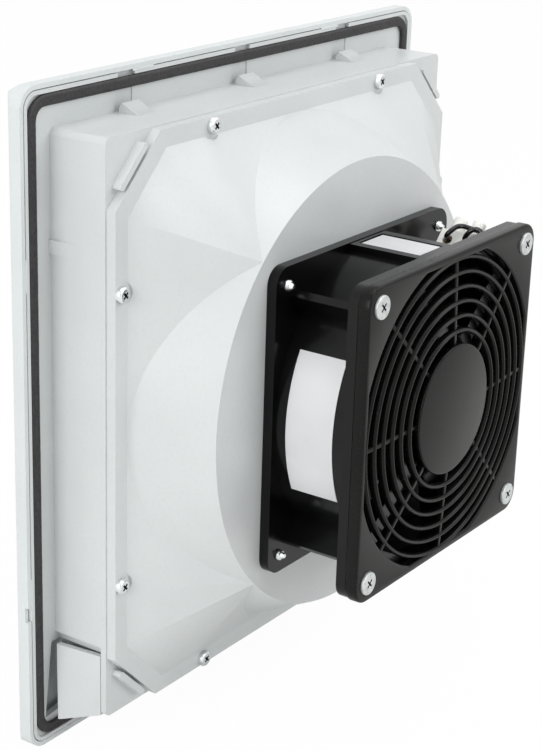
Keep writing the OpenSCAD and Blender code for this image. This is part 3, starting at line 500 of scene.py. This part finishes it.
def makeGuard():
    half = guard["width"] / 2
    body = addBox((-half, guard["back"], -half), (half, guard["front"], half), "guardFrame")
    bevelCorners(body, guard["corner"], segments=10)
    opening = addRod(
        guard["back"] - mm, guard["front"] + mm, guard["openingRadius"], guard["openingSides"]
    )
    clip = guard["openingWidth"] / 2
    clipBox = addBox((-clip, guard["back"] - 2 * mm, -clip), (clip, guard["front"] + 2 * mm, clip))
    cutWith(opening, clipBox, "INTERSECT")
    cutWith(body, opening)
    bevelEdges(body, guard["edge"], segments=4)
    parts = [body]
    ringStart = guard["discRadius"] - guard["ringWidth"] / 4
    around, across = guard["ringSides"]
    for i in range(1, guard["rings"] + 1):
        radius = ringStart + i * guard["ringPitch"]
        deselectAll()
        bpy.ops.mesh.primitive_torus_add(
            major_radius=radius, minor_radius=guard["ringWidth"] / 2, major_segments=around,
            minor_segments=across, location=(0, 0, 0), rotation=(math.radians(90), 0, 0),
        )
        ring = bpy.context.object
        applyPlace(ring)
        ring.scale = (1, guard["ringDepth"] / guard["ringWidth"], 1)
        ring.location = (0, domeHeight(radius) - guard["ringDepth"] / 2, 0)
        applyPlace(ring)
        parts.append(ring)
    inner = guard["discRadius"] - guard["ringWidth"]
    outer = guard["openingRadius"] + guard["spokeRoot"] * guard["ringWidth"]
    top = domeHeight(guard["discRadius"]) - guard["discThickness"] / 2
    drop = top - (guard["front"] - guard["discThickness"] / 4)
    side = guard["spokeWidth"] / 2
    for i in range(guard["spokes"]):
        reach = outer if i % 2 else guard["openingWidth"] / 2 + guard["ringWidth"] / 2
        spoke = addBox((inner, top - guard["spokeDepth"], -side), (reach, top, side), "spoke")
        for vertex in spoke.data.vertices:
            if vertex.co.x > inner + mm:  # the spoke falls with the dome
                vertex.co.y -= drop * (reach - inner) / (outer - inner)
        bevelEdges(spoke, guard["spokeEdge"], segments=2)
        spoke.data.transform(Matrix.Rotation(math.radians(360 / guard["spokes"] * i), 4, "Y"))
        parts.append(spoke)
    disc = addRod(
        domeHeight(guard["discRadius"]) - guard["discThickness"], domeHeight(guard["discRadius"]),
        guard["discRadius"], guard["discSides"],
    )
    bevelEdges(disc, guard["discEdge"], segments=3)
    parts.append(disc)
    piece = joinPieces(parts, "FingerGuard")
    softShade(piece, guard["smooth"])
    standFor(piece, "finger_guard")


makeGuard()
print("guard made")


# screws

screwKinds = {  # in millimetres
    "cover_screws": {"radius": 1.5, "head": 3.15, "height": 2.2, "length": 11, "seat": 28.4, "crown": 1.1},
    "fan_mount_screws": {"radius": 2.0, "head": 3.9, "height": 2.6, "length": 9, "seat": -54.6, "crown": 1.2},
    "guard_screws": {"radius": 2.0, "head": 4.4, "height": 1.1, "length": 12, "seat": 100, "crown": 0.5},
}
threads = {
    "pitch": 0.8 * mm, "depth": 0.35 * mm, "overlap": 0.05 * mm, "sides": 24,
    "crest": 0.45, "end": 0.9,  # of the pitch
    "root": 0.9, "tip": 0.5,  # of the core's radius
    "start": 0.6, "taper": 0.75,  # where the thread starts, in radii, and how fast it grows
}
recess = {  # the cross in the head: reach and depth are shares of the head's radius and height
    "turns": (45, 135), "reach": 0.58, "depth": 0.6, "half": 0.5 * mm,
    "floorReach": 0.55, "floorHalf": 0.6,  # how far it narrows at its floor
    "shadeRim": 0.04 * mm, "shadeDepth": 0.62, "shadeReach": 0.6,  # the part of the head that gets painted shade
}
headShape = {"sides": 40, "crownSteps": 5, "smooth": 30}
screwLine, screwEdge, fanPitch = 55 * mm, 105.4 * mm, 52.4 * mm
coverPlaces = [(s * screwLine, t * screwEdge) for s in (-1, 1) for t in (-1, 1)]
coverPlaces += [(z, x) for x, z in coverPlaces]
fanPlaces = [(s * fanPitch, t * fanPitch) for s in (-1, 1) for t in (-1, 1)]


def makeScrew(kind):
    seat = kind["seat"] * mm
    radius, head, height = (kind[k] * mm for k in ("radius", "head", "height"))
    top = seat + height
    cap = addRod(seat, top, head, headShape["sides"])
    # crowned head: the top's edge is rounded down over most of the head's height
    bevelChosen(cap, lambda a, b: min(a.y, b.y) > top - near, kind["crown"] * mm, headShape["crownSteps"])
    arm, floor, half = head * recess["reach"], top - height * recess["depth"], recess["half"]
    for turn in recess["turns"]:
        slot = addBox((-arm, floor, -half), (arm, top + mm, half))
        for vertex in slot.data.vertices:  # the recess narrows towards its floor
            if vertex.co.y < top:
                vertex.co.x *= recess["floorReach"]
                vertex.co.z *= recess["floorHalf"]
        slot.data.transform(Matrix.Rotation(math.radians(turn), 4, "Y"))
        cutWith(cap, slot)
    foot = seat - kind["length"] * mm
    core = radius - threads["depth"]
    tip, root, sides = core * threads["tip"], core * threads["root"], threads["sides"]
    parts = [cap, addRod(foot + radius, seat + threads["overlap"], core, sides)]
    parts.append(addRod(foot, foot + radius, tip, sides, core))
    along = foot + radius * threads["start"]
    while along + threads["pitch"] < seat:  # two cones back to back make one turn of the thread
        reach = min(radius, tip + (along - foot) * threads["taper"] + threads["depth"])
        crest = along + threads["pitch"] * threads["crest"]
        parts.append(addRod(along, crest, root, sides, reach))
        parts.append(addRod(crest, along + threads["pitch"] * threads["end"], reach, sides, root))
        along += threads["pitch"]
    piece = joinPieces(parts, "screw")
    softShade(piece, headShape["smooth"])
    return piece


def shadeRecess(piece, kind, places, flip):
    # painted shade: faces inside the cross recess get a darker finish than the plated head
    piece.data.materials.append(finishes["paintedRecessShade"])
    top = (kind["seat"] + kind["height"]) * mm
    deepest, widest = kind["height"] * recess["shadeDepth"] * mm, kind["head"] * recess["shadeReach"] * mm
    for face in piece.data.polygons:
        depth = top - (-face.center.y if flip else face.center.y)
        inside = min(math.hypot(face.center.x - x, face.center.z - z) for x, z in places)
        if recess["shadeRim"] < depth < deepest and inside < widest:
            face.material_index = 1


def placeScrews(node, places, name, flip=False):
    model = makeScrew(screwKinds[node])
    if flip:
        model.data.transform(Matrix.Rotation(math.radians(180), 4, "X"))
    copies = [copyPiece(model, (x, 0, z)) for x, z in places]
    bpy.data.objects.remove(model)
    piece = joinPieces(copies, name)
    standFor(piece, node)
    shadeRecess(piece, screwKinds[node], places, flip)


placeScrews("cover_screws", coverPlaces, "CoverScrews")
placeScrews("fan_mount_screws", fanPlaces, "FanMountScrews", flip=True)
placeScrews("guard_screws", fanPlaces, "GuardScrews")
print("screws made")

# sealing bead of foamed compound

bead = {
    "outer": 0.2426, "width": 0.0044, "height": 0.0018, "corner": 0.009, "shoulder": 0.0009,
    "pores": 0.00012, "poreScale": 0.0025, "poreLevel": 0.75, "grain": 0.0006, "smooth": 60,
}


def makeBead():
    half = bead["outer"] / 2
    inner = half - bead["width"]
    ring = addBox((-half, 0, -half), (half, bead["height"], half), "SealingBead")
    bevelCorners(ring, bead["corner"], segments=10)
    core = addBox((-inner, -mm, -inner), (inner, bead["height"] + mm, inner), "core")
    bevelCorners(core, bead["corner"] - bead["width"], segments=8)
    cutWith(ring, core)
    bevelEdges(ring, bead["shoulder"], segments=3)
    modify(ring, "REMESH", mode="VOXEL", voxel_size=bead["grain"], use_smooth_shade=True)
    texture = bpy.data.textures.new("beadPores", "CLOUDS")
    texture.noise_scale = bead["poreScale"]
    modify(
        ring, "DISPLACE", texture=texture, strength=bead["pores"], mid_level=bead["poreLevel"],
        texture_coords="LOCAL",
    )
    softShade(ring, bead["smooth"])
    standFor(ring, "sealing_gasket")


makeBead()
print("sealing bead made")

# filter mat

mat = {
    "half": 0.106, "corner": 0.0278, "front": -0.0005, "back": 0.0097, "edge": 0.002, "inset": 0.4 * mm,
    "fluff": 0.0008, "fluffScale": 0.006, "grain": 0.0022, "fill": 0.7, "smooth": 60,
}


def makeMat():
    inset = mat["inset"]
    half = mat["half"] - inset
    pad = addBox((-half, mat["front"] + inset, -half), (half, mat["back"] - inset, half), "FilterMat")
    bevelCorners(pad, mat["corner"] - inset, segments=1)
    bevelEdges(pad, mat["edge"], segments=3)
    modify(pad, "REMESH", mode="VOXEL", voxel_size=mat["grain"], use_smooth_shade=True)
    texture = bpy.data.textures.new("matFluff", "CLOUDS")
    texture.noise_scale = mat["fluffScale"]
    modify(pad, "DISPLACE", texture=texture, strength=mat["fluff"], mid_level=0.5, texture_coords="LOCAL")
    softShade(pad, mat["smooth"])
    standFor(pad, "filter_mat")


makeMat()
print("filter mat made")

# fan leads: points across the corner, along the depth, and out from the axis, in millimetres

leads = {
    "radius": 0.001, "steps": 5, "fineness": 6, "smooth": 50,
    "lead_one": [
        (-1.2, 89.6, 20), (-1.2, 89.6, 38), (-1.2, 89.2, 56), (-1.2, 89.2, 60), (0.5, 89, 63.5),
        (5, 88.4, 67), (8.6, 87.2, 69.4), (9.6, 85.6, 70.2), (10.1, 83.4, 70.2), (10.3, 80.6, 70.4),
        (10.4, 77.4, 70.8), (11, 75.4, 69.6), (11.7, 74.3, 66.8), (11.2, 73.2, 65.2),
        (9.4, 72.5, 65), (8, 72.4, 65), (5.5, 72.4, 65), (3, 72.4, 65),
    ],
    "lead_two": [
        (1.2, 89.6, 20), (1.2, 89.6, 38), (1.2, 89.2, 56), (1.2, 89.2, 60), (4.5, 89.3, 62.8),
        (9.8, 89.1, 66), (12.8, 87.9, 68.4), (13.2, 85.6, 69.2), (13.7, 83.7, 68), (12.8, 82.2, 66.4),
        (11.2, 81.1, 65.2), (9.6, 80.7, 65), (8, 80.7, 65), (5.5, 80.7, 65), (3, 80.7, 65),
    ],
}


def cornerPoint(point):
    across, depth, out = (c * mm for c in point)
    s = math.sqrt(0.5)
    return Vector(((across - out) * s, depth, (across + out) * s))


def makeLead(node, name):
    points = [cornerPoint(p) for p in leads[node]]
    curve = bpy.data.curves.new(name, "CURVE")
    curve.dimensions = "3D"
    curve.bevel_depth = leads["radius"]
    curve.bevel_resolution = leads["steps"]
    curve.use_fill_caps = True
    spline = curve.splines.new("NURBS")
    spline.points.add(len(points) - 1)
    for spot, point in zip(spline.points, points):
        spot.co = (*point, 1)
    spline.order_u = 3
    spline.use_endpoint_u = True
    spline.resolution_u = leads["fineness"]
    piece = bpy.data.objects.new(name, curve)
    bpy.context.collection.objects.link(piece)
    pick(piece)
    bpy.ops.object.convert(target="MESH")
    piece = bpy.context.object
    bpy.ops.object.mode_set(mode="EDIT")
    bpy.ops.mesh.select_all(action="SELECT")
    bpy.ops.mesh.remove_doubles(threshold=near)
    bpy.ops.mesh.normals_make_consistent(inside=False)
    bpy.ops.object.mode_set(mode="OBJECT")
    softShade(piece, leads["smooth"])
    standFor(piece, node)


makeLead("lead_one", "LeadOne")
makeLead("lead_two", "LeadTwo")
print("leads made")

# the other parts keep their CAD shape with smooth shading

plainSmooth = 30
for node in finishOfNode:
    if not nodes[node].hide_render:
        softShade(nodes[node], plainSmooth)

# stage, light and background

stage = {
    "floor": -0.125, "size": 8.0, "floorTone": "#f4f4f3", "glow": 0.97, "world": 0.56,
    "aim": (0, 0.05, 0),  # where the lamps point
}
lamps = {
    "key": {"place": (2.3, -0.1, 0.8), "size": 1.4, "power": 27},
    "back": {"place": (-0.2, 2.0, 1.0), "size": 1.2, "power": 12},
    "top": {"place": (0.0, 0.0, 2.0), "size": 1.2, "power": 13},
    "corner": {"place": (-0.42, 0.42, 0.6), "size": 0.4, "power": 1.3},
}


def makeFloor():
    deselectAll()
    bpy.ops.mesh.primitive_plane_add(size=stage["size"], location=(0, 0, stage["floor"]))
    floor = bpy.context.object
    floor.name = "floor"
    material = bpy.data.materials.new("floorPaper")
    material.use_nodes = True
    tree = material.node_tree
    tree.nodes.clear()
    paper = addNode(tree, "ShaderNodeBsdfDiffuse", Color=linear(stage["floorTone"]))
    glow = addNode(tree, "ShaderNodeEmission", Strength=1.0)
    rays = addNode(tree, "ShaderNodeLightPath")
    share = addNode(tree, "ShaderNodeMath", operation="MULTIPLY")
    share.inputs[1].default_value = stage["glow"]
    mix = addNode(tree, "ShaderNodeMixShader")
    out = addNode(tree, "ShaderNodeOutputMaterial")
    tree.links.new(rays.outputs["Is Camera Ray"], share.inputs[0])
    tree.links.new(share.outputs[0], mix.inputs[0])
    tree.links.new(paper.outputs[0], mix.inputs[1])
    tree.links.new(glow.outputs[0], mix.inputs[2])
    tree.links.new(mix.outputs[0], out.inputs["Surface"])
    floor.data.materials.append(material)


def makeWorld():
    world = bpy.data.worlds.new("studio")
    bpy.context.scene.world = world
    world.use_nodes = True
    tree = world.node_tree
    tree.nodes.clear()
    soft = addNode(tree, "ShaderNodeBackground", Color=(1, 1, 1, 1), Strength=stage["world"])
    white = addNode(tree, "ShaderNodeBackground", Color=(1, 1, 1, 1), Strength=1.0)
    rays = addNode(tree, "ShaderNodeLightPath")
    seen = addNode(tree, "ShaderNodeMath", operation="MAXIMUM")
    more = addNode(tree, "ShaderNodeMath", operation="MAXIMUM")
    mix = addNode(tree, "ShaderNodeMixShader")
    out = addNode(tree, "ShaderNodeOutputWorld")
    tree.links.new(rays.outputs["Is Camera Ray"], seen.inputs[0])
    tree.links.new(rays.outputs["Is Glossy Ray"], seen.inputs[1])
    tree.links.new(seen.outputs[0], more.inputs[0])
    tree.links.new(rays.outputs["Is Transmission Ray"], more.inputs[1])
    tree.links.new(more.outputs[0], mix.inputs[0])
    tree.links.new(soft.outputs[0], mix.inputs[1])
    tree.links.new(white.outputs[0], mix.inputs[2])
    tree.links.new(mix.outputs[0], out.inputs["Surface"])


def makeLamps():
    for name, lamp in lamps.items():
        place = Vector(lamp["place"])
        aim = (Vector(stage["aim"]) - place).to_track_quat("-Z", "Y").to_euler()
        deselectAll()
        bpy.ops.object.light_add(type="AREA", location=place, rotation=aim)
        light = bpy.context.object
        light.name = name
        light.data.shape = "SQUARE"
        light.data.size = lamp["size"]
        light.data.energy = lamp["power"]


makeFloor()
makeWorld()
makeLamps()
bpy.context.scene.view_settings.view_transform = "Standard"
print("stage made")
